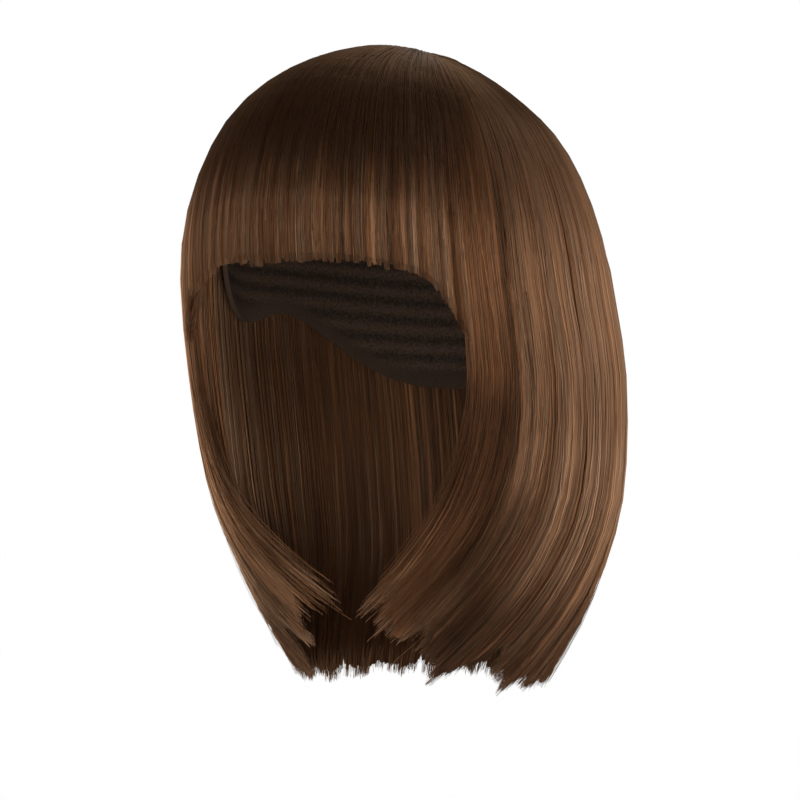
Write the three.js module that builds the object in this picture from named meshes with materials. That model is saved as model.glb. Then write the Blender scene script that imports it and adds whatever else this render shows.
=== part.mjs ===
// Short bob wig with a full straight fringe, as an assembly of a cap and hair panels.
// Millimetres, +Z up. The face looks along -Y and the wearer's left is +X.
// The origin is the middle of the cap's inside, where the top of the head meets it.
//
// The hair falls from a whorl behind the top of the head. A point on its outer form has two
// coordinates: the bearing it fell from (0 front, 90 wearer's left, 180 back, in degrees), and
// its station, the length of hair from the whorl measured down the side of the wig.

import * as THREE from "three";

// Driving sizes, in millimetres and degrees
const capWall = 1.6;
const seatGap = 1.1; // from the cap to the smooth form of the hair sewn on it
const panelGap = 0.7; // between neighbouring hair panels
const whorlStation = 15; // edge of the round whorl patch
const whorlDimple = 1.2; // how deep its middle is
const fringeBearing = 49; // the fringe reaches this far round each side
const backBearing = 118; // the back hair starts here
const tipTaper = 70; // the hair thins over this length above its tips
const tipWall = 3.2; // thickness of the hair at its cut ends
const grooveDepth = 1.6; // between locks, half way down
const grooveAtTips = 3.4; // between locks at the cut ends
const grooveShare = 0.45; // a groove takes at most this share of the hair
const grooveStart = 1 / 3; // grooves have their full depth this far down
const fringeNotch = 3; // how far up the fringe's ends part between locks
const hairNotch = 9; // the same for the long hair
const unevenShare = 0.35; // share of a notch by which lock ends differ

// The ends of the long hair turn under and swing forward along the cheeks. The swing is whole
// up to a bearing and fades to none at the middle of the back.
const curl = {
  turn: 38,
  length: 150,
  power: 3,
  endByFace: 316,
  endBySide: 362,
  sideBearing: 90,
  wholeTo: 85,
};

// The cap leaves the hair below a station and follows the head, by the ears and at the nape.
const tuck = { fromStation: 128, power: 1.5, ear: 3, earBearing: 80, nape: 19, napeBearing: 155 };

// The outer form, one row for each ring round the head: where the ring passes the front, the
// side and the back, half its width, and how thick the hair is there.
const rings = [
  { name: "whorl", frontY: 16, frontZ: 13.5, halfX: 0, sideZ: 13.5, backY: 16, backZ: 13.5, hair: 12.9 },
  { name: "crown", frontY: 3, frontZ: 15, halfX: 13, sideZ: 12.8, backY: 27, backZ: 9.5, hair: 12.3 },
  { name: "vertex", frontY: -22, frontZ: 14.8, halfX: 34, sideZ: 5, backY: 42, backZ: -3, hair: 12.1 },
  { name: "top", frontY: -56.5, frontZ: 7, halfX: 57, sideZ: -9, backY: 61.5, backZ: -18.5, hair: 12.3 },
  { name: "hat", frontY: -80, frontZ: -5.5, halfX: 75, sideZ: -26, backY: 79.5, backZ: -35, hair: 12.5 },
  { name: "forehead", frontY: -94, frontZ: -22, halfX: 87, sideZ: -47, backY: 92, backZ: -54, hair: 13 },
  { name: "temple", frontY: -104.5, frontZ: -48, halfX: 96, sideZ: -75, backY: 103, backZ: -79, hair: 14.5 },
  { name: "brow", frontY: -107, frontZ: -80, halfX: 100, sideZ: -106, backY: 112.5, backZ: -108, hair: 16 },
  { name: "cheek", frontY: -98.5, frontZ: -134, halfX: 101.5, sideZ: -136, backY: 119.5, backZ: -137, hair: 15 },
  { name: "jaw", frontY: -90, frontZ: -171, halfX: 99.5, sideZ: -171, backY: 123.5, backZ: -171, hair: 13.5 },
  { name: "chin", frontY: -80.5, frontZ: -201, halfX: 95, sideZ: -201, backY: 123.5, backZ: -201, hair: 12 },
  { name: "neck", frontY: -68, frontZ: -228, halfX: 86, sideZ: -228, backY: 118.5, backZ: -228, hair: 11 },
  { name: "collar", frontY: -56, frontZ: -251, halfX: 76, sideZ: -251, backY: 109.5, backZ: -251, hair: 9.5 },
  { name: "hem", frontY: -44, frontZ: -271, halfX: 65, sideZ: -271, backY: 98.5, backZ: -271, hair: 8 },
  { name: "tips", frontY: -33, frontZ: -291, halfX: 54, sideZ: -291, backY: 86, backZ: -291, hair: 6 },
];

// Where the cut ends and the cap's rim lie, by bearing. Both sides of the wig are alike.
const fringeCut = [
  { bearing: 0, station: 178 },
  { bearing: 33, station: 176 },
  { bearing: 39, station: 177.5 },
  { bearing: 44, station: 185 },
  { bearing: 50, station: 198 },
];
const hairCut = [
  { bearing: 49, station: 306 },
  { bearing: 54, station: 319 },
  { bearing: 60, station: 336 },
  { bearing: 64.5, station: 326 },
  { bearing: 70, station: 344 },
  { bearing: 80, station: 355 },
  { bearing: 87.5, station: 339 },
  { bearing: 95, station: 355 },
  { bearing: 110, station: 361 },
  { bearing: 180, station: 362 },
];
const capRim = [
  { bearing: 0, station: 138 },
  { bearing: 45, station: 146 },
  { bearing: 78, station: 178 },
  { bearing: 104, station: 172 },
  { bearing: 140, station: 200 },
  { bearing: 180, station: 204 },
];

const hairBrown = new THREE.MeshStandardMaterial({ color: 0x5b4030, roughness: 0.45, metalness: 0 });
const crownBrown = new THREE.MeshStandardMaterial({ color: 0x4a3529, roughness: 0.5, metalness: 0 });
const capBrown = new THREE.MeshStandardMaterial({ color: 0x2e2019, roughness: 0.9, metalness: 0 });

const { degToRad, lerp, mapLinear, smoothstep } = THREE.MathUtils;
const clamp01 = (value) => THREE.MathUtils.clamp(value, 0, 1);

// Smooth curve through a table's rows: a cubic between rows, with each row's slope taken from
// its neighbours.
function along(rows, keyColumn, valueColumn, key) {
  const last = rows.length - 1;
  let row = 0;
  while (row < last - 1 && key > rows[row + 1][keyColumn]) row += 1;
  const slopeAt = (k) => {
    const before = rows[Math.max(k - 1, 0)];
    const after = rows[Math.min(k + 1, last)];
    return (after[valueColumn] - before[valueColumn]) / (after[keyColumn] - before[keyColumn]);
  };
  const from = rows[row];
  const to = rows[row + 1];
  const span = to[keyColumn] - from[keyColumn];
  const share = clamp01((key - from[keyColumn]) / span);
  const square = share * share;
  const cube = square * share;
  return (
    (2 * cube - 3 * square + 1) * from[valueColumn] +
    (cube - 2 * square + share) * span * slopeAt(row) +
    (3 * square - 2 * cube) * to[valueColumn] +
    (cube - square) * span * slopeAt(row + 1)
  );
}

// Each ring's station is the length of the side profile from the whorl down to it.
rings.forEach((ring, k) => {
  const above = rings[k - 1];
  ring.station = above
    ? above.station + Math.hypot(ring.halfX - above.halfX, ring.sideZ - above.sideZ)
    : 0;
});
const ringValue = (column, station) => along(rings, "station", column, station);

// Bearings are read the same way on both sides: 0 at the front to 180 at the back.
const wholeTurn = (bearing) => THREE.MathUtils.euclideanModulo(bearing, 360);
const fromFront = (bearing) => Math.min(wholeTurn(bearing), 360 - wholeTurn(bearing));
const sideSign = (bearing) => (wholeTurn(bearing) > 180 ? -1 : 1);
const cutStation = (cut, bearing) => along(cut, "bearing", "station", fromFront(bearing));

// How far round the hair has swung forward at a station, in degrees.
function forwardSwing(bearing, station) {
  const side = Math.max(fromFront(bearing), fringeBearing);
  const fade = Math.cos(degToRad(90 * clamp01((side - curl.wholeTo) / (180 - curl.wholeTo)))) ** 2;
  const bySide = Math.min(side, curl.sideBearing);
  const end = mapLinear(bySide, fringeBearing, curl.sideBearing, curl.endByFace, curl.endBySide);
  const share = Math.max(0, (station - end + curl.length) / curl.length);
  return curl.turn * fade * share ** curl.power;
}

// A point on the smooth outer form: round the ring at its station, from the front or the back
// height at the middle to the side's height at the side.
function outerPoint(bearing, station) {
  const swung = degToRad(bearing - sideSign(bearing) * forwardSwing(bearing, station));
  const sine = Math.sin(swung);
  const cosine = Math.cos(swung);
  const frontY = ringValue("frontY", station);
  const backY = ringValue("backY", station);
  const middleZ = ringValue(cosine > 0 ? "frontZ" : "backZ", station);
  return new THREE.Vector3(
    ringValue("halfX", station) * sine,
    (frontY + backY) / 2 - ((backY - frontY) / 2) * cosine,
    ringValue("sideZ", station) * sine * sine + middleZ * cosine * cosine,
  );
}

// The outward direction there, from short steps down and across the hair.
function outward(bearing, station) {
  const step = 0.5;
  const down = outerPoint(bearing, station + step).sub(outerPoint(bearing, station - step));
  const across = outerPoint(bearing + step, station).sub(outerPoint(bearing - step, station));
  return down.cross(across).normalize();
}

// A point of a wall, moved straight in from the smooth outer form.
const inFrom = (bearing, station, depth) =>
  outerPoint(bearing, station).addScaledVector(outward(bearing, station), -depth);

// The same at the whorl, where all bearings meet on a slope that falls to the back.
const whorlOut = new THREE.Vector3(0, 0.25, 1).normalize();
const inFromWhorl = (depth) => outerPoint(0, 0).addScaledVector(whorlOut, -depth);

// Closed wall between two grids of points, outer and inner, each indexed [column][row]. A round
// wall joins its last column to its first, and its first row is one point.
function wallGeometry(outer, inner, round) {
  const columns = outer.length;
  const foot = outer[0].length - 1;
  const points = [...outer.flat(), ...inner.flat()];
  const faces = [];
  const index = (start) => (column, row) => {
    const isPole = round && row === 0;
    return start + (isPole ? 0 : column % columns) * (foot + 1) + row;
  };
  const out = index(0);
  const inn = index(points.length / 2);
  const quad = (a, b, c, d) => {
    if (a !== d) faces.push(a, d, c);
    if (a !== b && b !== c) faces.push(a, c, b);
  };
  const spans = round ? columns : columns - 1;
  for (let c = 0; c < spans; c += 1) {
    for (let r = 0; r < foot; r += 1) {
      quad(out(c, r), out(c + 1, r), out(c + 1, r + 1), out(c, r + 1));
      quad(inn(c + 1, r), inn(c, r), inn(c, r + 1), inn(c + 1, r + 1));
    }
    quad(out(c, foot), out(c + 1, foot), inn(c + 1, foot), inn(c, foot));
    if (!round) quad(out(c + 1, 0), out(c, 0), inn(c, 0), inn(c + 1, 0));
  }
  const edge = columns - 1;
  for (let r = 0; !round && r < foot; r += 1) {
    quad(out(0, r), out(0, r + 1), inn(0, r + 1), inn(0, r));
    quad(out(edge, r + 1), out(edge, r), inn(edge, r), inn(edge, r + 1));
  }
  const geometry = new THREE.BufferGeometry().setFromPoints(points);
  geometry.setIndex(faces);
  geometry.computeVertexNormals();
  return geometry;
}

function namedMesh(name, geometry, material) {
  const mesh = new THREE.Mesh(geometry, material);
  mesh.name = name;
  return mesh;
}

// Uneven lock ends, from -1 to 1, that repeat only after many locks.
const uneven = (column) => Math.sin(2.4 * column + 0.7) * 0.6 + Math.sin(5.1 * column) * 0.4;

// A hair panel: locks with grooves between them, parted at the cut ends and thinning there.
// Each lock takes three columns, a groove and its two shoulders.
function hairPanel({ name, from, to, locks, rows, cut, notch }) {
  const columns = locks * 3;
  const outer = [];
  const inner = [];
  for (let c = 0; c <= columns; c += 1) {
    const isGroove = c % 3 === 0;
    const bearing = lerp(from, to, c / columns);
    const end = cutStation(cut, bearing);
    const tip = end - (isGroove ? notch : notch * unevenShare * uneven(c));
    const inset = c === 0 ? panelGap / 2 : c === columns ? -panelGap / 2 : 0;
    const outerColumn = [];
    const innerColumn = [];
    for (let r = 0; r <= rows; r += 1) {
      const station = lerp(whorlStation + panelGap, tip, r / rows);
      const perDegree = outerPoint(bearing + 0.5, station).distanceTo(outerPoint(bearing - 0.5, station));
      const placed = bearing + inset / perDegree;
      const down = station / end;
      const fullDepth = lerp(grooveDepth, grooveAtTips, down ** 3) * smoothstep(down, 0, grooveStart);
      const toTip = clamp01((tip - station) / tipTaper);
      const hair = lerp(tipWall, ringValue("hair", station), Math.sqrt(toTip));
      outerColumn.push(inFrom(placed, station, isGroove ? Math.min(fullDepth, hair * grooveShare) : 0));
      innerColumn.push(inFrom(placed, station, hair));
    }
    outer.push(outerColumn);
    inner.push(innerColumn);
  }
  return namedMesh(name, wallGeometry(outer, inner, false), hairBrown);
}

// The whorl patch: a round tuft at the crown that the panels fall from, dimpled in the middle.
function whorlPatch() {
  const columns = 24;
  const rows = 2;
  const grid = (depthAt) =>
    Array.from({ length: columns }, (_, c) =>
      Array.from({ length: rows + 1 }, (__, r) => {
        const station = (whorlStation * r) / rows;
        return r === 0 ? inFromWhorl(depthAt(0)) : inFrom((360 * c) / columns, station, depthAt(station));
      }),
    );
  const outer = grid((station) => whorlDimple * (1 - station / whorlStation));
  const inner = grid((station) => ringValue("hair", station));
  return namedMesh("crown_whorl", wallGeometry(outer, inner, true), crownBrown);
}

// The cap: a stretch wall under the hair, tucked in by the ears and at the nape.
function cap() {
  const columns = 36;
  const rows = 11;
  const grid = (extra) =>
    Array.from({ length: columns }, (_, c) => {
      const bearing = (360 * c) / columns;
      const side = fromFront(bearing);
      const rim = cutStation(capRim, bearing);
      const byEar = tuck.ear * smoothstep(side, 0, tuck.earBearing);
      const atNape = tuck.nape * smoothstep(side, tuck.earBearing, tuck.napeBearing);
      return Array.from({ length: rows + 1 }, (__, r) => {
        const station = (rim * r) / rows;
        const under = ringValue("hair", station) + seatGap + extra;
        const share = clamp01((station - tuck.fromStation) / (rim - tuck.fromStation));
        const tucked = (byEar + atNape) * share ** tuck.power;
        return r === 0 ? inFromWhorl(under) : inFrom(bearing, station, under + tucked);
      });
    });
  return namedMesh("cap", wallGeometry(grid(0), grid(capWall), true), capBrown);
}

// The hair panels, with how many locks each is combed into
const left = { from: fringeBearing, to: backBearing };
const right = { from: 360 - backBearing, to: 360 - fringeBearing };
const front = { from: -fringeBearing, to: fringeBearing };
const back = { from: backBearing, to: 360 - backBearing };
const longHair = { rows: 15, cut: hairCut, notch: hairNotch };
const panels = [
  { name: "fringe", ...front, locks: 13, rows: 10, cut: fringeCut, notch: fringeNotch },
  { name: "left_side_hair", ...left, locks: 9, ...longHair },
  { name: "right_side_hair", ...right, locks: 9, ...longHair },
  { name: "back_hair", ...back, locks: 14, ...longHair },
];

const wig = new THREE.Group();
wig.add(cap(), whorlPatch(), ...panels.map(hairPanel));

export default wig;
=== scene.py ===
import math

import bpy
import numpy as np
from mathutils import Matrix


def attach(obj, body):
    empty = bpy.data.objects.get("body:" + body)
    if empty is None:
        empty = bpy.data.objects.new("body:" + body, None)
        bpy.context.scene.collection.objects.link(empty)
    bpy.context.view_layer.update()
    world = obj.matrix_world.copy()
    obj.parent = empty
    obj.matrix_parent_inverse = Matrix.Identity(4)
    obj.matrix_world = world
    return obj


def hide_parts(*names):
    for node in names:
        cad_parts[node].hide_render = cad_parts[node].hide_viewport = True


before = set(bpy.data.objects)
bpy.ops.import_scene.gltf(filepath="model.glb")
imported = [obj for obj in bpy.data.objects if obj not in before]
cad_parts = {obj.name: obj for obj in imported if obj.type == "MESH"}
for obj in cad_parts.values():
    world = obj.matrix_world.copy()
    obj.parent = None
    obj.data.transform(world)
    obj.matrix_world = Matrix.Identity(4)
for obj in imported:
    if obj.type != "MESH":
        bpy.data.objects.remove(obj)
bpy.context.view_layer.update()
mm = 0.001
print("frame loaded:", ", ".join(sorted(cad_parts)))

# The form of the hair, in mm: egg-shaped rings from the whorl down to the tips
hairForm = {
    "frontY": [16, 3, -22, -56.5, -80, -94, -104.5, -107, -98.5, -90, -80.5, -68, -56, -44, -33],
    "frontZ": [13.5, 15, 14.8, 7, -5.5, -22, -48, -80, -134, -171, -201, -228, -251, -271, -291],
    "halfX": [0, 13, 34, 57, 75, 87, 96, 100, 101.5, 99.5, 95, 86, 76, 65, 54],
    "sideZ": [13.5, 12.8, 5, -9, -26, -47, -75, -106, -136, -171, -201, -228, -251, -271, -291],
    "backY": [16, 27, 42, 61.5, 79.5, 92, 103, 112.5, 119.5, 123.5, 123.5, 118.5, 109.5, 98.5, 86],
    "backZ": [13.5, 9.5, -3, -18.5, -35, -54, -79, -108, -137, -171, -201, -228, -251, -271, -291],
    "hair": [12.9, 12.3, 12.1, 12.3, 12.5, 13, 14.5, 16, 15, 13.5, 12, 11, 9.5, 8, 6],
}
# How the ends turn under and swing forward, soonest at the front edges, in degrees and mm
curl = {"turn": 38, "length": 150, "power": 3, "endByEdge": 316, "endBySide": 362,
        "edgeBearing": 49, "sideBearing": 90, "wholeTo": 85}
# Length of hair from the whorl to the cut, by bearing round from the front
hairCuts = {
    "fringe": ([0, 33, 39, 44, 50], [178, 176, 177.5, 185, 198]),
    "long": ([49, 54, 60, 64.5, 70, 80, 87.5, 95, 110, 180],
             [306, 319, 336, 326, 344, 355, 339, 355, 361, 362]),
}
# The hair thins over the taper to the wall at its ends, and to a share of itself at the front edges
hairEnds = {"taper": 70, "wall": 3.2, "edgeShare": 0.5, "edgeWide": 6}
halfStep = 0.5  # mm down the hair and degrees round it, for slopes
sharpTurn = math.radians(60)  # edges that turn more than this stay sharp


def tableCurve(keys, values, at):  # cubic between rows, each row's slope taken from its neighbours
    keys, values = np.asarray(keys, float), np.asarray(values, float)
    index = np.arange(len(keys))
    before, after = np.maximum(index - 1, 0), np.minimum(index + 1, len(keys) - 1)
    slopes = (values[after] - values[before]) / (keys[after] - keys[before])
    row = np.clip(np.searchsorted(keys, at, side="right") - 1, 0, len(keys) - 2)
    span = keys[row + 1] - keys[row]
    t = np.clip((at - keys[row]) / span, 0, 1)
    return ((2 * t**3 - 3 * t**2 + 1) * values[row] + (t**3 - 2 * t**2 + t) * span * slopes[row]
            + (3 * t**2 - 2 * t**3) * values[row + 1] + (t**3 - t**2) * span * slopes[row + 1])


ringSteps = np.hypot(np.diff(hairForm["halfX"]), np.diff(hairForm["sideZ"]))
ringStations = np.concatenate([[0], np.cumsum(ringSteps)])  # length of hair from the whorl


def ringValue(column, station):  # one column of the rings, at any length of hair
    return tableCurve(ringStations, hairForm[column], station)


def fromFront(bearing):  # 0 at the front to 180 at the back, on either side
    return 180 - np.abs(180 - np.mod(bearing, 360))


def sideSign(bearing):  # 1 on the left as worn, -1 on the right
    return np.where(np.mod(bearing, 360) > 180, -1.0, 1.0)


def eased(low, high, value):  # 0 below low, 1 above high, a smooth step between
    t = np.clip((value - low) / (high - low), 0, 1)
    return t * t * (3 - 2 * t)


def between(rise, fall, value):  # a smooth step up over one range, times a smooth step down over the other
    return eased(*rise, value) * (1 - eased(*fall, value))


def bell(value, middle, width):  # 1 at the middle, falling off by the square of the distance in widths
    return np.exp(-((value - middle) / width) ** 2)


def unit(vectors):  # each vector over its length
    return vectors / np.maximum(np.linalg.norm(vectors, axis=-1, keepdims=True), 1e-9)


def forwardSwing(bearing, station):  # the turn times a power of how far the hair is into its curl
    side = np.maximum(fromFront(bearing), curl["edgeBearing"])
    fade = np.cos(np.pi / 2 * np.clip((side - curl["wholeTo"]) / (180 - curl["wholeTo"]), 0, 1)) ** 2
    bySide = np.clip((side - curl["edgeBearing"]) / (curl["sideBearing"] - curl["edgeBearing"]), 0, 1)
    end = curl["endByEdge"] + bySide * (curl["endBySide"] - curl["endByEdge"])
    share = np.maximum(0, (station - end + curl["length"]) / curl["length"])
    return curl["turn"] * fade * share ** curl["power"]


def outerPoint(bearing, station):  # egg-shaped ring: sine across, cosine front to back, squares mix heights
    swung = np.radians(bearing - sideSign(bearing) * forwardSwing(bearing, station))
    sine, cosine = np.sin(swung), np.cos(swung)
    frontY, backY = ringValue("frontY", station), ringValue("backY", station)
    middleZ = np.where(cosine > 0, ringValue("frontZ", station), ringValue("backZ", station))
    return np.stack([ringValue("halfX", station) * sine,
                     (frontY + backY) / 2 - (backY - frontY) / 2 * cosine,
                     ringValue("sideZ", station) * sine**2 + middleZ * cosine**2], -1)


def outward(bearing, station):  # a short step down the hair crossed with a short step round it
    down = outerPoint(bearing, station + halfStep) - outerPoint(bearing, np.maximum(station - halfStep, 0))
    across = outerPoint(bearing + halfStep, station) - outerPoint(bearing - halfStep, station)
    return unit(np.cross(down, across))


def pointAtDepth(bearing, station, depth):  # straight in from the outer form
    return outerPoint(bearing, station) - depth[..., None] * outward(bearing, station)


def cutAt(look, bearing):  # length of hair to the plain cut
    return tableCurve(*hairCuts[look["cut"]], fromFront(bearing))


def tipAt(look, bearing):  # the cut, higher between long locks, lower by a bell at the fringe's right corner
    cut = cutAt(look, bearing)
    if look["cut"] == "long":
        return cut - locks["notch"] * lockHollow(bearing, cut) ** 2
    return cut + locks["corner"] * bell(bearing, locks["cornerBearing"], locks["cornerWidth"])


def hairThickness(look, bearing, station):  # thins by a square root to the cut, and along the front edges
    toTip = np.clip((cutAt(look, bearing) - station) / hairEnds["taper"], 0, 1)
    thick = hairEnds["wall"] + (ringValue("hair", station) - hairEnds["wall"]) * np.sqrt(toTip)
    if look["cut"] == "long":
        inside = eased(0, hairEnds["edgeWide"], fromFront(bearing) - curl["edgeBearing"])
        thick = thick * (hairEnds["edgeShare"] + (1 - hairEnds["edgeShare"]) * inside)
    return thick


locks = {"widths": (12.4, 6.8, 3.7), "shares": (0.5, 0.3, 0.2),  # three sizes of lock, in degrees round
         "driftLength": 75, "driftSlant": 0.05, "drifts": (0.7, -1.1, 1.6), "phases": (0, 1.3, 4.1),
         "depths": ([0, 60, 200, 300, 360], [0.12, 0.12, 0.4, 1.8, 2.4]),  # of hollows, by length of hair
         "pull": 1.2, "pullPower": 4,  # how far and how late ends draw in to the middle of a lock
         "notch": 3.5, "corner": 4.5, "cornerBearing": -33, "cornerWidth": 8,  # uneven ends
         "parting": 61, "partingDepth": 1.3, "partingWidth": 2.2,  # where fringe and side hair divide
         "partingFrom": (50, 100), "partingTo": (180, 250)}


def lockTurns(bearing, station):  # angle of each size of wave round the whorl, drifting with the length
    drift = np.sin(station / locks["driftLength"] + locks["driftSlant"] * bearing)
    return [2 * np.pi * bearing / width + reach * drift + phase
            for width, reach, phase in zip(locks["widths"], locks["drifts"], locks["phases"])]


def lockHollow(bearing, station):  # weighed sines of these angles: 0 on the middle of a lock, 1 between two
    turns = lockTurns(bearing, station)
    return 0.5 - 0.5 * sum(share * np.sin(turn) for share, turn in zip(locks["shares"], turns))


def lockRelief(bearing, station):  # hollows that deepen with the length of hair, and a bell-shaped parting
    hollow = np.interp(station, *locks["depths"]) * lockHollow(bearing, station)
    parting = bell(fromFront(bearing), locks["parting"], locks["partingWidth"])
    parting = parting * between(locks["partingFrom"], locks["partingTo"], station)
    return hollow + locks["partingDepth"] * parting


def meshObject(name, points, corners, sizes, uvs=None, values=None, sharpAngle=None, smooth=True):
    # one mesh from whole arrays: points in mm, the points at each face's corners, each face's corner count
    mesh = bpy.data.meshes.new(name)
    mesh.vertices.add(len(points))
    mesh.vertices.foreach_set("co", np.asarray(points, np.float32).ravel() * mm)
    mesh.loops.add(len(corners))
    mesh.loops.foreach_set("vertex_index", np.asarray(corners, np.int32))
    mesh.polygons.add(len(sizes))
    mesh.polygons.foreach_set("loop_start", np.concatenate([[0], np.cumsum(sizes)[:-1]]).astype(np.int32))
    mesh.polygons.foreach_set("use_smooth", np.broadcast_to(smooth, len(sizes)).tolist())
    mesh.update(calc_edges=True)
    if sharpAngle:
        mesh.set_sharp_from_angle(angle=sharpAngle)
    if uvs is not None:
        layer = mesh.uv_layers.new(name="combUv")
        layer.data.foreach_set("uv", np.asarray(uvs, np.float32)[corners].ravel())
    for key, value in (values or {}).items():
        mesh.attributes.new(key, "FLOAT", "POINT").data.foreach_set("value", np.asarray(value, np.float32))
    piece = bpy.data.objects.new(name, mesh)
    bpy.context.scene.collection.objects.link(piece)
    return piece


def closedWall(outer, inner):  # two grids [column, row] joined round all their edges
    columns, rows = outer.shape[:2]
    out = np.arange(columns * rows).reshape(columns, rows)
    back = out + columns * rows
    quads = [np.stack([out[:-1, :-1], out[:-1, 1:], out[1:, 1:], out[1:, :-1]], -1).reshape(-1, 4),
             np.stack([back[:-1, :-1], back[1:, :-1], back[1:, 1:], back[:-1, 1:]], -1).reshape(-1, 4),
             np.stack([out[:-1, -1], back[:-1, -1], back[1:, -1], out[1:, -1]], -1),
             np.stack([out[1:, 0], back[1:, 0], back[:-1, 0], out[:-1, 0]], -1),
             np.stack([out[0, :-1], back[0, :-1], back[0, 1:], out[0, 1:]], -1),
             np.stack([out[-1, 1:], back[-1, 1:], back[-1, :-1], out[-1, :-1]], -1)]
    faces = np.concatenate(quads)
    points = np.concatenate([outer.reshape(-1, 3), inner.reshape(-1, 3)])
    return points, faces.ravel(), np.full(len(faces), 4)


def closedBowl(outer, inner, outerPole, innerPole):  # two grids that go all round, each closed at its pole
    columns, rows = outer.shape[:2]
    out = np.arange(columns * rows).reshape(columns, rows)
    near = np.roll(out, -1, axis=0)
    back, nearBack = out + columns * rows, near + columns * rows
    poles = np.full(columns, 2 * columns * rows)
    quads = np.concatenate([
        np.stack([out[:, :-1], out[:, 1:], near[:, 1:], near[:, :-1]], -1).reshape(-1, 4),
        np.stack([back[:, :-1], nearBack[:, :-1], nearBack[:, 1:], back[:, 1:]], -1).reshape(-1, 4),
        np.stack([out[:, -1], back[:, -1], nearBack[:, -1], near[:, -1]], -1)])
    fans = np.concatenate([np.stack([out[:, 0], near[:, 0], poles], -1),
                           np.stack([nearBack[:, 0], back[:, 0], poles + 1], -1)])
    points = np.concatenate([outer.reshape(-1, 3), inner.reshape(-1, 3), [outerPole, innerPole]])
    sizes = np.concatenate([np.full(len(quads), 4), np.full(len(fans), 3)])
    return points, np.concatenate([quads.ravel(), fans.ravel()]), sizes


def strandTubes(path, out, radius):  # a three-sided ring carried along each path, a triangle at each end
    strands, rows = path.shape[:2]
    ahead = unit(np.gradient(path, axis=1))
    side = unit(np.cross(ahead, out))
    lift = np.cross(side, ahead)
    turn = np.radians([90, 210, 330])
    ring = np.cos(turn)[:, None] * side[:, :, None] + np.sin(turn)[:, None] * lift[:, :, None]
    points = path[:, :, None] + radius[:, :, None, None] * ring
    ids = np.arange(strands * rows * 3).reshape(strands, rows, 3)
    nextIds = np.roll(ids, -1, axis=2)
    quads = np.stack([ids[:, :-1], ids[:, 1:], nextIds[:, 1:], nextIds[:, :-1]], -1).reshape(-1, 4)
    ends = np.concatenate([ids[:, 0], ids[:, -1, ::-1]])
    corners = np.concatenate([quads.ravel(), ends.ravel()])
    sizes = np.concatenate([np.full(len(quads), 4), np.full(len(ends), 3)])
    return points.reshape(-1, 3), corners, sizes


# Finishes
ashBrowns = [(0.0, (0.010, 0.0049, 0.0028)), (0.4, (0.061, 0.0325, 0.0178)),  # darkest to lightest hair
             (0.6, (0.104, 0.0582, 0.0328)), (1.0, (0.26, 0.162, 0.102))]
copperBrowns = [(0.0, (0.011, 0.0042, 0.0020)), (0.4, (0.066, 0.0262, 0.0108)),
                (0.6, (0.112, 0.0470, 0.0195)), (1.0, (0.27, 0.138, 0.067))]
hairFinish = {"roughness": 0.37, "metallic": 0.55, "specular": 0.1, "tint": (0.82, 0.56, 0.38)}
underFinish = {"roughness": 0.48, "metallic": 0.55, "specular": 0.15, "tint": (0.9, 0.72, 0.58),
               "streaks": (1500, 6, 1), "detail": 2, "bump": 0.5, "bumpHeight": 0.25}
capFinish = {"roughness": 0.85, "metallic": 0, "specular": 0.25, "tint": (1, 0.9, 0.8), "netScale": 900,
             "weftPitch": 9, "weftShare": 0.15, "bumpHeight": 0.4,
             "browns": [(0.3, (0.012, 0.0070, 0.0045)), (0.75, (0.055, 0.032, 0.020))],
             "binding": (0.034, 0.019, 0.012)}


def newMaterial(name, finish):  # a shader with the values that are the same all over
    material = bpy.data.materials.new(name)
    material.use_nodes = True
    shader = material.node_tree.nodes["Principled BSDF"]
    shader.inputs["Roughness"].default_value = finish["roughness"]
    shader.inputs["Metallic"].default_value = finish["metallic"]
    shader.inputs["Specular IOR Level"].default_value = finish["specular"]
    shader.inputs["Specular Tint"].default_value = (*finish["tint"], 1)
    return material, material.node_tree, shader


def colourRamp(tree, stops):  # colours at places from 0 to 1
    ramp = tree.nodes.new("ShaderNodeValToRGB")
    points = ramp.color_ramp.elements
    while len(points) < len(stops):
        points.new(0.5)
    for point, (place, colour) in zip(points, stops):
        point.position = place
        point.color = (*colour, 1)
    return ramp


def pointValue(tree, name):  # a value that the mesh holds at each point
    node = tree.nodes.new("ShaderNodeAttribute")
    node.attribute_name = name
    return node.outputs["Fac"]


def mixColours(tree, first, second, share):  # the second by its share
    mix = tree.nodes.new("ShaderNodeMix")
    mix.data_type = "RGBA"
    tree.links.new(share, mix.inputs["Factor"])
    tree.links.new(first, mix.inputs["A"])
    tree.links.new(second, mix.inputs["B"])
    return mix.outputs["Result"]


def strandMaterial():  # the tone along each strand picks its brown, its warmth how coppery that is
    material, tree, shader = newMaterial("hairStrands", hairFinish)
    ash, copper = colourRamp(tree, ashBrowns), colourRamp(tree, copperBrowns)
    tone = pointValue(tree, "tone")
    tree.links.new(tone, ash.inputs["Fac"])
    tree.links.new(tone, copper.inputs["Fac"])
    colour = mixColours(tree, ash.outputs["Color"], copper.outputs["Color"], pointValue(tree, "warmth"))
    tree.links.new(colour, shader.inputs["Base Color"])
    return material


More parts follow.
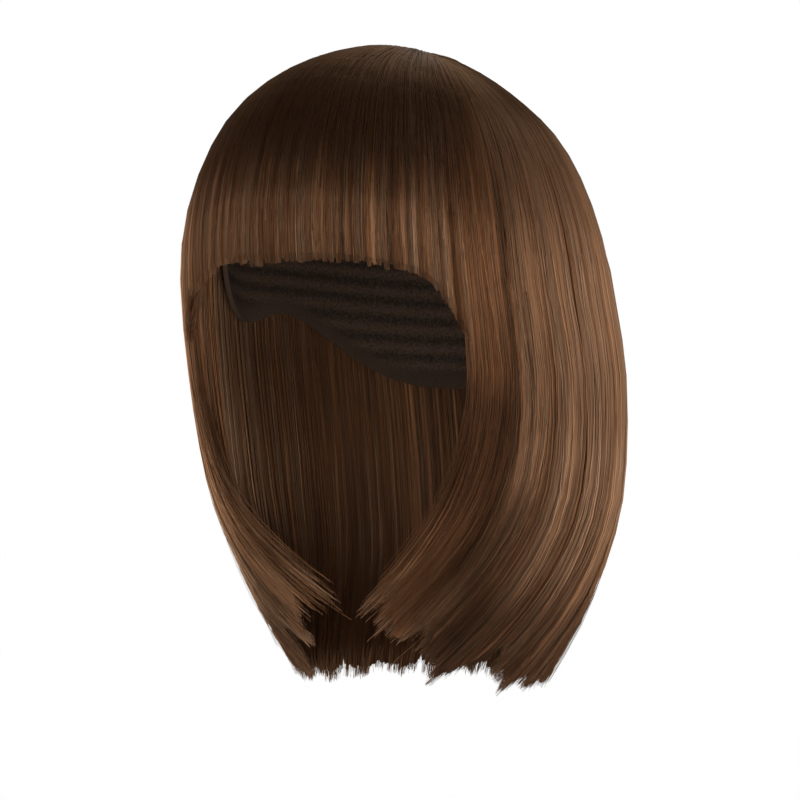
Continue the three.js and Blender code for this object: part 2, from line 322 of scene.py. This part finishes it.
def underHairMaterial():  # streaks: noise drawn out along the comb, times the tone of the hair there, which carries its painted shades
    material, tree, shader = newMaterial("underHair", underFinish)
    uv = tree.nodes.new("ShaderNodeUVMap")
    uv.uv_map = "combUv"
    stretch = tree.nodes.new("ShaderNodeMapping")
    stretch.inputs["Scale"].default_value = underFinish["streaks"]
    noise = tree.nodes.new("ShaderNodeTexNoise")
    noise.inputs["Scale"].default_value = 1
    noise.inputs["Detail"].default_value = underFinish["detail"]
    shade = tree.nodes.new("ShaderNodeMath")
    shade.operation = "MULTIPLY"
    ramp = colourRamp(tree, copperBrowns)
    bump = tree.nodes.new("ShaderNodeBump")
    bump.inputs["Strength"].default_value = underFinish["bump"]
    bump.inputs["Distance"].default_value = underFinish["bumpHeight"] * mm
    tree.links.new(uv.outputs["UV"], stretch.inputs["Vector"])
    tree.links.new(stretch.outputs["Vector"], noise.inputs["Vector"])
    tree.links.new(noise.outputs["Fac"], shade.inputs[0])
    tree.links.new(pointValue(tree, "tone"), shade.inputs[1])
    tree.links.new(shade.outputs["Value"], ramp.inputs["Fac"])
    tree.links.new(noise.outputs["Fac"], bump.inputs["Height"])
    tree.links.new(ramp.outputs["Color"], shader.inputs["Base Color"])
    tree.links.new(bump.outputs["Normal"], shader.inputs["Normal"])
    return material


def capMaterial():  # matt net with rows of wefts: a sine of the length down, plus noise; a plain bound rim
    material, tree, shader = newMaterial("capNet", capFinish)
    place = tree.nodes.new("ShaderNodeTexCoord")
    noise = tree.nodes.new("ShaderNodeTexNoise")
    noise.inputs["Scale"].default_value = capFinish["netScale"]
    turn, wave, shade = [tree.nodes.new("ShaderNodeMath") for step in range(3)]
    turn.operation, wave.operation, shade.operation = "MULTIPLY", "SINE", "MULTIPLY_ADD"
    turn.inputs[1].default_value = 2 * math.pi / capFinish["weftPitch"]
    shade.inputs[1].default_value = capFinish["weftShare"]
    ramp = colourRamp(tree, capFinish["browns"])
    binding = tree.nodes.new("ShaderNodeRGB")
    binding.outputs["Color"].default_value = (*capFinish["binding"], 1)
    bump = tree.nodes.new("ShaderNodeBump")
    bump.inputs["Distance"].default_value = capFinish["bumpHeight"] * mm
    tree.links.new(place.outputs["Object"], noise.inputs["Vector"])
    tree.links.new(pointValue(tree, "down"), turn.inputs[0])
    tree.links.new(turn.outputs["Value"], wave.inputs[0])
    tree.links.new(wave.outputs["Value"], shade.inputs[0])
    tree.links.new(noise.outputs["Fac"], shade.inputs[2])
    tree.links.new(shade.outputs["Value"], ramp.inputs["Fac"])
    tree.links.new(shade.outputs["Value"], bump.inputs["Height"])
    colour = mixColours(tree, ramp.outputs["Color"], binding.outputs["Color"], pointValue(tree, "bound"))
    tree.links.new(colour, shader.inputs["Base Color"])
    tree.links.new(bump.outputs["Normal"], shader.inputs["Normal"])
    return material


hairStrands, underHair, capNet = strandMaterial(), underHairMaterial(), capMaterial()
print("finishes ready")

# Hair panels, each a solid wall of under-hair with strands combed over it, inside it and past its ends.
# All of a panel's strands bend at the same rows, so none dips under its neighbours: upper rows at lengths
# of hair from the whorl, lower rows at shares of what is left to the cut.
upperRows = [3, 10, 19, 29, 39, 49, 58, 67, 76, 86, 97, 109, 123]
rowPlans = {
    "fringe": {"upper": upperRows, "lower": [0.3, 0.58, 0.8, 0.95, 1]},
    "long": {"upper": [*upperRows, 139, 155, 171, 188, 205],
             "lower": [0.14, 0.265, 0.38, 0.485, 0.59, 0.69, 0.79, 0.895, 1]},
}
# What panels share, then each panel. Strands are listed as (first row, count), sizes are in mm and degrees
# light is a painted light; the edge, curl and swept shades are painted shades; warmth is the hair's own
# colour
anyHair = {"light": 0, "paintedEdgeShade": 0, "paintedCurlShade": 0, "paintedSweptShade": 0, "edgeWarm": 0}
longHair = {**anyHair, "cut": "long", "wallShort": 3.5, "wallJag": 1.5, "wedge": 40, "fan": 14,
            "fanShare": 0.9, "splay": 1, "endShare": 0.45, "warmth": 0.35}
sideHair = {**longHair, "clumps": 80, "wallColumns": 140, "ragged": 2.6, "clumpRagged": 1.7, "gather": 0.55,
            "edgeWarm": 0.5, "clumpTone": 0.06, "strandTone": 0.035,
            "surface": [(0, 230), (3, 270), (7, 310), (10, 340), (12, 350)], "inner": [(13, 270)],
            "edge": [(11, 110)], "swept": [(13, 190)], "wisps": [(12, 40)], "stray": [(13, 40)]}
fringe = {**anyHair, "node": "fringe", "bearings": (-49.2, 49.2), "cut": "fringe", "seed": 11, "clumps": 110,
          "wallColumns": 200, "wallShort": 1.8, "wallJag": 0.6, "wedge": 14, "fan": 3, "fanShare": 0.3,
          "ragged": 0.5, "clumpRagged": 0.6, "gather": 0.35, "splay": 0.25, "endShare": 0.7,
          "warmth": 0.5, "clumpTone": 0.08, "strandTone": 0.06,
          "surface": [(0, 400), (3, 480), (6, 520), (8, 580), (11, 560)], "inner": [(11, 420)]}
# the left side hair has painted shade along its front edge and in its curl; the right side has a painted
# light and painted shade on its swept strands
leftSide = {**sideHair, "node": "left_side_hair", "bearings": (48.8, 118.2), "seed": 23, "sweep": 6,
            "paintedEdgeShade": 0.5, "paintedCurlShade": 0.48}
rightSide = {**sideHair, "node": "right_side_hair", "bearings": (-118.2, -48.8), "seed": 37, "sweep": 22,
             "light": 0.11, "paintedSweptShade": 0.4}
backHair = {**longHair, "node": "back_hair", "bearings": (117.8, 242.2), "seed": 51, "clumps": 130,
            "wallColumns": 260, "ragged": 2.0, "clumpRagged": 1.2, "gather": 0.5,
            "clumpTone": 0.065, "strandTone": 0.045,
            "surface": [(0, 275), (3, 315), (7, 355), (10, 375), (12, 380)], "inner": [(13, 420)],
            "wisps": [(12, 40)], "stray": [(13, 24)]}
# How the brown changes over the hair: painted shades and painted lights are shares of it, placed by bearing
# and length
tones = {
    "mean": 0.5, "lightFade": (80, 114),  # mean brown, and where a panel's own painted light fades out
    "cornerBearings": (22, 46), "sideBearings": (41, 71),  # where the fringe's corners and the sides begin
    "crownEnd": (130, 154), "cornerRise": 8, "sideReach": (-82, 24),  # where the painted shade on the crown ends
    "paintedCrownShades": (0.37, 0.78), "rootEven": 0.3,  # painted shade: share of the brown at the crown in front and elsewhere
    # a painted sheen on the crown, by bearing, and where it ends
    "paintedSheen": ([20, 38, 46, 58, 75, 95], [0.55, 0.15, 0.1, 0.4, 0.4, 0]), "paintedSheenEnd": (84, 108),
    "paintedHollowShade": 0.44, "hollowFrom": (170, 290),  # painted shade between locks
    # painted shade along the parting between fringe and side hair
    "paintedPartingShade": 0.4, "partingPath": ([120, 170, 216, 250], [61.5, 60.5, 57.5, 55.5]),
    "partingWidth": 1.7, "partingFrom": (105, 130), "partingTo": (225, 270),
    "edgeBearings": (57, 64), "edgeFrom": (203, 222), "edgeTo": (250, 280),  # painted shade along a front edge
    "curlPath": ([295, 315], [62.5, 72]), "curlWidth": 6.2, "curlFrom": (250, 278),  # painted shade inside the curl
    # painted shade at the tips of the lower side and back hair
    "paintedTipShade": 0.32, "tipBearings": (58, 68), "tipFrom": (305, 330),
    # painted shade on swept strands near a front edge, fading lower down
    "sweptBearings": (42, 54), "sweptFrom": (150, 220), "sweptFade": 0.85, "sweptTo": (235, 285),
    "paintedMidHighlight": 0.22, "midFrom": (215, 250), "midTo": (285, 325),  # painted highlight half way down
    "paintedEndLight": 0.4, "endLength": 24,  # painted light at the thin very ends of long hair
    "brightOver": 0.95, "bright": 2.2, "darkUnder": 0.06, "dark": 2, "strayLight": 0.2,  # odd strands
    "rootSpread": 7, "rootSpreadFrom": (60, 110),  # unevenness of where the painted crown shade ends
    "clumpWarmth": 0.3, "strandWarmth": 0.2, "warmBearings": (51, 62), "warmFrom": (30, 130),
}


def belowCrown(bearing, station):  # 0 at the crown, 1 lower down: a smooth step, longer at the sides, that ends the painted shade on the crown
    corner = eased(*tones["cornerBearings"], fromFront(bearing))
    side = eased(*tones["sideBearings"], fromFront(bearing))
    low, high = [end - tones["cornerRise"] * corner + reach * side
                 for end, reach in zip(tones["crownEnd"], tones["sideReach"])]
    return eased(low, high, station)


def paintedCrownShade(bearing, root):  # painted shade: share of the brown that is left towards the crown, least in front
    least = np.interp(fromFront(bearing), tones["sideBearings"], tones["paintedCrownShades"])
    return least + (1 - least) * root


def paintedCrownSheen(bearing, station):  # 1 plus a painted sheen on top, which ends by a smooth step
    light = np.interp(fromFront(bearing), *tones["paintedSheen"])
    return 1 + light * (1 - eased(*tones["paintedSheenEnd"], station))


def paintedLockShade(look, bearing, station):  # product of the shares that each kind of painted shade leaves: between locks, along the parting, a front edge, inside the curl, at tips and on swept strands
    side = fromFront(bearing)
    hollow = tones["paintedHollowShade"] * lockHollow(bearing, station) ** 2 * eased(*tones["hollowFrom"], station)
    parting = bell(side, np.interp(station, *tones["partingPath"]), tones["partingWidth"])
    parting = tones["paintedPartingShade"] * parting * between(tones["partingFrom"], tones["partingTo"], station)
    edge = look["paintedEdgeShade"] * (1 - eased(*tones["edgeBearings"], side))
    edge = edge * between(tones["edgeFrom"], tones["edgeTo"], station)
    turned = bell(side, np.interp(station, *tones["curlPath"]), tones["curlWidth"])
    turned = look["paintedCurlShade"] * turned * eased(*tones["curlFrom"], station)
    tips = tones["paintedTipShade"] * eased(*tones["tipBearings"], side) * eased(*tones["tipFrom"], station)
    swept = look["paintedSweptShade"] * (1 - eased(*tones["sweptBearings"], side))
    swept = swept * eased(*tones["sweptFrom"], station)
    swept = swept * (1 - tones["sweptFade"] * eased(*tones["sweptTo"], station))
    return (1 - hollow) * (1 - parting) * (1 - edge) * (1 - turned) * (1 - tips) * (1 - swept)


def rowStations(look, bearing, first):  # one row of stations for each bearing, from the first row given
    plan = rowPlans[look["cut"]]
    upper, lower = np.array(plan["upper"], float), np.array(plan["lower"])
    left = tipAt(look, bearing)[:, None] - upper[-1]
    rows = np.concatenate([np.broadcast_to(upper, (len(bearing), len(upper))), upper[-1] + left * lower], 1)
    return rows[:, first:]


def intoEnds(look, bearing, station, length):  # 0 above the ends, 1 at the cut
    cut = tipAt(look, bearing)
    return eased(cut - length, cut, station)


combing = {
    "wallDepth": 0.7, "wallInside": 0.9, "wallEnd": 0.6,  # the wall within the hair, and its thin end
    "wallShare": 0.45, "wallMargin": 0.4,  # deepest start as a share of the hair, and room left at both sides
    "shortest": 0.85,  # share of the last row that uneven ends take at most
    "topDepths": (0.05, 0.55),  # surface strands lie between these
    "riseFrom": 0.75, "lag": 0.6,  # later strands come up from under the others, at uneven heights
    "thin": (0.13, 0.23), "startShare": 0.25, "thinPower": 8,  # radius of a strand, start and end
    "clumpShift": 0.25, "clumpSpread": 0.8, "gatherPower": 2.5,  # unevenness and width of clumps
    "wander": 0.3, "wanderShares": (0.3, 1), "waves": (0.6, 1.8), "wanderFrom": (0, 80),  # sideways drift
    "edgeHomes": {"edge": (-0.5, 1.6), "swept": (-0.5, 7)},  # where strands of a front edge start
    "sweptRagged": 3, "sweepShares": (0.1, 1), "sweepPower": 1.6, "sweepCurve": 2.2,  # combed forward
    "wispWander": 3, "wispLift": 1.6, "strayTurn": 7, "strayMargin": 1, "strayRelief": 0.5, "strayLift": 0.4,
    "innerFill": 0.75, "endSplay": (0.3, 0.8), "splayPower": 6,  # filled hollow behind the wall, uneven ends
}
longest = max(hairCuts["long"][1])


def underWall(look):  # two sheets a little inside the panel, that close in on each other to an uneven end
    low, high = look["bearings"]
    around = np.linspace(low + combing["wallMargin"], high - combing["wallMargin"], look["wallColumns"])
    station = rowStations(look, around, 1)
    jag = np.random.default_rng(look["seed"] + 2).normal(0, 1, look["wallColumns"])
    station[:, -1] -= np.minimum(look["wallShort"] + look["wallJag"] * np.abs(jag),
                                 combing["shortest"] * (station[:, -1] - station[:, -2]))
    bearing = np.broadcast_to(around[:, None], station.shape)
    thick = hairThickness(look, bearing, station)
    outerDepth = np.minimum(combing["wallDepth"] + lockRelief(bearing, station), thick * combing["wallShare"])
    full = np.maximum(thick - combing["wallInside"] - outerDepth, combing["wallEnd"])
    thinned = (combing["wallEnd"] - full) * intoEnds(look, bearing, station, look["wedge"])
    innerDepth = outerDepth + full + thinned
    points, corners, sizes = closedWall(pointAtDepth(bearing, station, outerDepth),
                                        pointAtDepth(bearing, station, innerDepth))
    uvs = np.tile(np.stack([bearing / 360, station / longest], -1).reshape(-1, 2), (2, 1))
    # the wall's tone is the painted crown shade times the painted shades of the locks
    tone = paintedCrownShade(bearing, belowCrown(bearing, station)) * paintedLockShade(look, bearing, station)
    piece = meshObject(look["node"] + "_under", points, corners, sizes, uvs,
                       {"tone": np.tile(tone.ravel(), 2)}, sharpTurn)
    piece.data.materials.append(underHair)
    return piece


def strandDepth(look, kind, home, bearing, station, along, layer, top):  # its own top depth, then by kind
    thick = hairThickness(look, bearing, station)
    if kind == "inner":  # under the wall, and filling the hollow behind its thin end
        fill = combing["innerFill"] * layer * intoEnds(look, home[:, None], station, look["wedge"])
        return (thick - top) * (1 - fill)
    if kind in combing["edgeHomes"]:  # spread through the thickness
        return top + layer * (thick - 2 * top)
    if kind == "wisps":  # lifted off by a square
        return top - combing["wispLift"] * layer * along**2
    if kind == "stray":  # over the others
        return lockRelief(bearing, station) * combing["strayRelief"] - combing["strayLift"] + top
    spread = look["fanShare"] * layer**3 * intoEnds(look, home[:, None], station, look["fan"])
    return top + spread * (thick - top) + lockRelief(bearing, station) * (1 - spread)


def strandColour(look, kind, home, bearing, station, clumpValues, odd, rng):
    # tone: the mean plus what clumps and strands differ by, times all painted shades and painted lights;
    # warmth: a like sum
    clumpTone, clumpRoot, clumpWarm = clumpValues
    side = fromFront(bearing)
    strandTone = rng.normal(0, 1, odd.shape) + tones["bright"] * (odd > tones["brightOver"])
    strandTone = strandTone - tones["dark"] * (odd < tones["darkUnder"])
    differs = look["clumpTone"] * clumpTone + look["strandTone"] * strandTone
    differs = differs + tones["strayLight"] * (kind == "stray")
    uneven = tones["rootSpread"] * clumpRoot * eased(*tones["rootSpreadFrom"], station)
    root = belowCrown(bearing, station + uneven)
    # a panel's painted light, which fades out towards the back
    tone = tones["mean"] + look["light"] * (1 - eased(*tones["lightFade"], side))
    tone = tone + differs * (tones["rootEven"] + (1 - tones["rootEven"]) * root)
    tone = tone * paintedCrownShade(bearing, root) * paintedLockShade(look, bearing, station) * paintedCrownSheen(bearing, station)
    tone = tone * (1 + tones["paintedMidHighlight"] * between(tones["midFrom"], tones["midTo"], station))
    if look["cut"] == "long":
        tone = tone * (1 + tones["paintedEndLight"] * intoEnds(look, home[:, None], station, tones["endLength"]))
    warmth = look["warmth"] + tones["clumpWarmth"] * clumpWarm
    warmth = warmth + tones["strandWarmth"] * rng.normal(0, 1, odd.shape)
    warmth = np.clip(warmth + look["edgeWarm"] * (1 - eased(*tones["warmBearings"], side)), 0, 1)
    return {"tone": np.clip(tone, 0, 1), "warmth": warmth * eased(*tones["warmFrom"], station)}


def combFamily(look, kind, first, count, rng):
    # a strand's bearing leaves its home by powers of the way along, a sine that wanders, and a sweep or slant
    low, high = look["bearings"]
    side = sideSign((low + high) / 2)
    step = (high - low) / look["clumps"]
    clump = rng.integers(0, look["clumps"], count)
    clumpRng = np.random.default_rng(look["seed"])  # the same clumps for all families of a panel
    clumpValues = clumpRng.normal(0, 1, (5, look["clumps"]))[:, clump]
    clumpShift, clumpLength = clumpValues[:2]
    middle = low + (clump + 0.5 + combing["clumpShift"] * clumpShift) * step
    spread = combing["clumpSpread"]
    home = np.clip(middle + rng.uniform(-spread, spread, count) * step, low, high)
    layer, lag, odd = rng.uniform(0, 1, (3, count, 1))
    if kind in combing["edgeHomes"]:
        home = middle = side * (curl["edgeBearing"] + rng.uniform(*combing["edgeHomes"][kind], count))
    station = rowStations(look, home, first)
    station[:, :1] += combing["lag"] * lag * (station[:, 1:2] - station[:, :1])
    ragged = look["ragged"] * (combing["sweptRagged"] if kind == "swept" else 1)
    ends = look["clumpRagged"] * clumpLength - ragged * np.abs(rng.normal(0, 1, count))
    station[:, -1] += np.maximum(ends, combing["shortest"] * (station[:, -2] - station[:, -1]))
    along = (station - station[:, :1]) / (station[:, -1:] - station[:, :1])
    bearing = home[:, None] + look["gather"] * along ** combing["gatherPower"] * (middle - home)[:, None]
    if look["cut"] == "long":  # ends draw in to the middle of a lock
        pull = locks["pull"] * np.cos(lockTurns(bearing, station)[0])
        bearing = bearing + pull * along ** locks["pullPower"]
    phase, waves = rng.uniform(0, 2 * np.pi, (count, 1)), rng.uniform(*combing["waves"], (count, 1))
    reach = combing["wander"] * rng.uniform(*combing["wanderShares"], (count, 1))
    reach = reach * (combing["wispWander"] if kind == "wisps" else 1) * eased(*combing["wanderFrom"], station)
    bearing = bearing + reach * np.sin(2 * np.pi * waves * along + phase)
    if kind == "swept":  # combed further forward
        share = rng.uniform(*combing["sweepShares"], (count, 1)) ** combing["sweepPower"]
        bearing = bearing - side * look["sweep"] * share * along ** combing["sweepCurve"]
    if kind == "stray":  # on a slant
        slant = combing["strayTurn"] * (2 * layer - 1) * along
        bearing = np.clip(bearing + slant, low + combing["strayMargin"], high - combing["strayMargin"])
    shallow, deep = combing["topDepths"]
    top = shallow + (deep - shallow) * rng.uniform(0, 1, (count, 1))
    depth = strandDepth(look, kind, home, bearing, station, along, layer, top)
    if first > 0 and kind in ("surface", "stray"):
        depth[:, 0] += combing["riseFrom"]
    splay = look["splay"] * rng.normal(*combing["endSplay"], (count, 1))
    depth = depth + splay * along ** combing["splayPower"]
    thinning = (1 - look["endShare"]) * along ** combing["thinPower"]
    radius = rng.uniform(*combing["thin"], (count, 1)) * (1 - thinning)
    radius[:, 0] *= combing["startShare"]
    colour = strandColour(look, kind, home, bearing, station, clumpValues[2:, :, None], odd, rng)
    return pointAtDepth(bearing, station, depth), outward(bearing, station), radius, colour


def strandMesh(name, families):  # tubes of all families joined in one mesh
    points, corners, sizes, colours = [], [], [], {"tone": [], "warmth": []}
    for path, out, radius, colour in families:
        tubePoints, tubeCorners, tubeSizes = strandTubes(path, out, radius)
        corners.append(tubeCorners + sum(map(len, points)))
        points.append(tubePoints)
        sizes.append(tubeSizes)
        for key in colours:
            colours[key].append(np.repeat(colour[key].ravel(), 3))
    points, corners, sizes = map(np.concatenate, (points, corners, sizes))
    values = {key: np.concatenate(value) for key, value in colours.items()}
    piece = meshObject(name, points, corners, sizes, values=values, smooth=sizes == 4)  # flat at the ends
    piece.data.materials.append(hairStrands)
    return piece


def addPiece(piece):  # rides on the body; a face of n corners counts as n less 2 triangles
    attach(piece, "root")
    triangles = len(piece.data.loops) - 2 * len(piece.data.polygons)
    print("made", piece.name, "with", triangles, "triangles")
    return triangles


triangleCount = 0
for panel in (fringe, leftSide, rightSide, backHair):
    rng = np.random.default_rng(panel["seed"] + 1)
    wall = underWall(panel)
    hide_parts(panel["node"])
    triangleCount += addPiece(wall)
    for ending, kinds in (("_strands", ["surface"]),
                          ("_loose", ["inner", "edge", "swept", "wisps", "stray"])):
        families = [combFamily(panel, kind, first, count, rng)
                    for kind in kinds for first, count in panel.get(kind, [])]
        triangleCount += addPiece(strandMesh(panel["node"] + ending, families))

# The whorl: a dimpled round patch under short strands that turn as they leave it
whorl = {"node": "crown_whorl", "columns": 120, "rows": [1.5, 3.5, 6, 9, 12, 14.6], "edge": 15, "dimple": 1.2,
         "thick": 9, "seed": 5, "tones": (0.12, 0.3), "poleTone": 0.2, "warmth": 0.5,
         "strands": 560, "bends": 7, "starts": (0.8, 5), "reach": (17, 36), "spiral": 40, "unwindTo": 30,
         "lift": (-0.35, 0.25), "tuck": 0.9, "tuckFrom": 0.7, "strandTone": 0.06, "strandWarmth": 0.1}
whorlOut = unit(np.array([0, 0.25, 1]))  # straight out of the whorl


def whorlBowl():  # sheets at two depths, the outer one dimpled by a straight line to its middle
    bearing, station = np.meshgrid(np.arange(whorl["columns"]) * 360 / whorl["columns"], whorl["rows"],
                                   indexing="ij")
    depth = combing["wallDepth"] + whorl["dimple"] * (1 - station / whorl["edge"])
    pole = outerPoint(np.array(0.0), np.array(0.0))
    points, corners, sizes = closedBowl(
        pointAtDepth(bearing, station, depth),
        pointAtDepth(bearing, station, np.full_like(depth, whorl["thick"])),
        pole - whorlOut * (combing["wallDepth"] + whorl["dimple"]), pole - whorlOut * whorl["thick"])
    tone = np.random.default_rng(whorl["seed"]).uniform(*whorl["tones"], (whorl["columns"], 1)) + 0 * station
    tone = np.concatenate([np.tile(tone.ravel(), 2), [whorl["poleTone"]] * 2])
    piece = meshObject(whorl["node"] + "_under", points, corners, sizes,
                       values={"tone": tone, "warmth": np.full(len(points), whorl["warmth"])})
    piece.data.materials.append(hairStrands)
    return piece


def whorlStrands():  # bearings that unwind by a square as the strand runs out from the middle
    rng = np.random.default_rng(whorl["seed"] + 1)
    count = whorl["strands"]
    start, end = rng.uniform(*whorl["starts"], (count, 1)), rng.uniform(*whorl["reach"], (count, 1))
    station = start + (end - start) * np.linspace(0, 1, whorl["bends"])
    unwound = np.maximum(0, 1 - station / whorl["unwindTo"]) ** 2
    bearing = rng.uniform(0, 360, (count, 1)) + whorl["spiral"] * unwound
    tuck = whorl["tuck"] * eased(whorl["tuckFrom"], 1, station / end)  # ends go under the other strands
    lift = rng.uniform(*whorl["lift"], (count, 1)) + tuck
    depth = lift + whorl["dimple"] * np.maximum(0, 1 - station / whorl["edge"])
    radius = rng.uniform(*combing["thin"], (count, 1)) * np.ones_like(station)
    # the whorl's strands take the darkest painted crown shade
    tone = paintedCrownShade(bearing, 0) * (tones["mean"] + whorl["strandTone"] * rng.normal(0, 1, (count, 1)))
    colour = {"tone": np.clip(tone, 0, 1), "warmth": np.full_like(tone, whorl["strandWarmth"])}
    return pointAtDepth(bearing, station, depth), outward(bearing, station), radius, colour


patch = whorlBowl()
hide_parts(whorl["node"])
triangleCount += addPiece(patch)
triangleCount += addPiece(strandMesh(whorl["node"] + "_strands", [whorlStrands()]))

# The cap: a smooth net bowl under the hair, tucked in at the sides and the back, with a bound rim
capShape = {"node": "cap", "columns": 144, "rows": 36, "wall": 1.6, "seatGap": 1.1,
            "rim": ([0, 45, 78, 104, 140, 180], [138, 146, 178, 172, 200, 204]),
            "tuckFrom": 128, "tuckPower": 1.5, "sideTuck": 3, "sideBearing": 80,
            "backTuck": 19, "backBearing": 155, "bindingWide": 7, "bindingSoft": 1, "bindingThick": 0.6}


def capBowl():  # two sheets under the hair, drawn in by a power of the share of the way to the rim
    around = np.arange(capShape["columns"]) * 360 / capShape["columns"]
    rim = tableCurve(*capShape["rim"], fromFront(around))[:, None]
    station = rim * np.linspace(0, 1, capShape["rows"])[1:]
    bearing = np.broadcast_to(around[:, None], station.shape)
    side = fromFront(bearing)
    tuck = (capShape["sideTuck"] * eased(0, capShape["sideBearing"], side)
            + capShape["backTuck"] * eased(capShape["sideBearing"], capShape["backBearing"], side))
    share = np.clip((station - capShape["tuckFrom"]) / (rim - capShape["tuckFrom"]), 0, 1)
    outerDepth = ringValue("hair", station) + capShape["seatGap"] + tuck * share ** capShape["tuckPower"]
    wide = capShape["bindingWide"]
    bound = 1 - eased(wide - capShape["bindingSoft"], wide, rim - station)
    innerDepth = outerDepth + capShape["wall"] + capShape["bindingThick"] * bound
    pole = outerPoint(np.array(0.0), np.array(0.0))
    poleDepth = hairForm["hair"][0] + capShape["seatGap"]
    points, corners, sizes = closedBowl(
        pointAtDepth(bearing, station, outerDepth), pointAtDepth(bearing, station, innerDepth),
        pole - whorlOut * poleDepth, pole - whorlOut * (poleDepth + capShape["wall"]))
    values = {"down": np.concatenate([np.tile(station.ravel(), 2), [0, 0]]),
              "bound": np.concatenate([np.tile(bound.ravel(), 2), [0, 0]])}
    piece = meshObject(capShape["node"] + "_net", points, corners, sizes, values=values,
                       sharpAngle=sharpTurn)
    piece.data.materials.append(capNet)
    return piece


net = capBowl()
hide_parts(capShape["node"])
triangleCount += addPiece(net)
print("all pieces have", triangleCount, "triangles")

# Floor, light and camera
studio = {"floorZ": -1.6, "floorSize": 30, "floorGrey": 0.85, "floorGlow": 0.9,
          "floorFinish": {"roughness": 0.9, "metallic": 0, "specular": 0.2, "tint": (1, 1, 1)},
          "azimuth": 29.7, "distance": 1.6, "aimZ": -0.1505, "aimRight": 0.0017,
          "pixelsPerMetre": 2123.5, "pictureWide": 800, "sensorWide": 36, "boxDistance": 1.8,
          "sky": [(0.0, 1.0), (0.12, 1.0), (0.3, 0.2), (0.6, 0.03), (1.0, 0.02)]}  # light by sine of height
softBoxes = {"rightBox": (107, -4, 2.0, 40), "leftBox": (-85, 0, 1.6, 36),  # azimuth, height, size, power
             "frontBox": (25, 3, 1.6, 19), "nearBox": (65, 3, 1.6, 13), "rightTop": (100, 40, 1.6, 9),
             "leftTop": (-95, 45, 1.6, 9), "backRight": (150, 25, 1.6, 13), "backTop": (205, 50, 1.6, 7)}


def paleFloor():  # one wide square far below, that glows a little
    corner = studio["floorSize"] / mm
    level = studio["floorZ"] / mm
    points = np.array([[-corner, -corner, level], [corner, -corner, level],
                       [corner, corner, level], [-corner, corner, level]])
    floor = meshObject("floor", points, np.arange(4), np.array([4]))
    material, _, shader = newMaterial("paleFloor", studio["floorFinish"])
    shader.inputs["Base Color"].default_value = (*[studio["floorGrey"]] * 3, 1)
    shader.inputs["Emission Color"].default_value = (1, 1, 1, 1)
    shader.inputs["Emission Strength"].default_value = studio["floorGlow"]
    floor.data.materials.append(material)


def studioSky():  # white round the horizon, dim overhead
    world = bpy.data.worlds.new("studio")
    bpy.context.scene.world = world
    world.use_nodes = True
    tree = world.node_tree
    place = tree.nodes.new("ShaderNodeTexCoord")
    split = tree.nodes.new("ShaderNodeSeparateXYZ")
    ramp = colourRamp(tree, [(height, (light,) * 3) for height, light in studio["sky"]])
    tree.links.new(place.outputs["Generated"], split.inputs["Vector"])
    tree.links.new(split.outputs["Z"], ramp.inputs["Fac"])
    tree.links.new(ramp.outputs["Color"], tree.nodes["Background"].inputs["Color"])


def softLight(name, azimuth, height, size, power):  # a round soft box that looks at the hair
    lamp = bpy.data.lights.new(name, "AREA")
    lamp.shape, lamp.size, lamp.energy = "DISK", size, power
    holder = bpy.data.objects.new(name, lamp)
    bpy.context.scene.collection.objects.link(holder)
    a, e = math.radians(azimuth), math.radians(height)
    away = np.array([math.sin(a) * math.cos(e), -math.cos(a) * math.cos(e), math.sin(e)])
    holder.location = away * studio["boxDistance"] + np.array([0, 0, studio["aimZ"]])
    holder.rotation_euler = (math.pi / 2 - e, 0, a)


def levelCamera():  # level, at the azimuth; the lens gives its pixels to a metre at the aim
    a = math.radians(studio["azimuth"])
    aim = np.array([math.cos(a) * studio["aimRight"], math.sin(a) * studio["aimRight"], studio["aimZ"]])
    lens = bpy.data.cameras.new("camera")
    lens.sensor_width = studio["sensorWide"]
    lens.lens = studio["pixelsPerMetre"] * studio["distance"] / studio["pictureWide"] * lens.sensor_width
    camera = bpy.data.objects.new("camera", lens)
    camera.location = aim + np.array([math.sin(a), -math.cos(a), 0]) * studio["distance"]
    camera.rotation_euler = (math.pi / 2, 0, a)
    bpy.context.scene.collection.objects.link(camera)
    bpy.context.scene.camera = camera


paleFloor()
studioSky()
for boxName, box in softBoxes.items():
    softLight(boxName, *box)
levelCamera()
bpy.context.scene.view_settings.view_transform = "Standard"
print("studio ready")
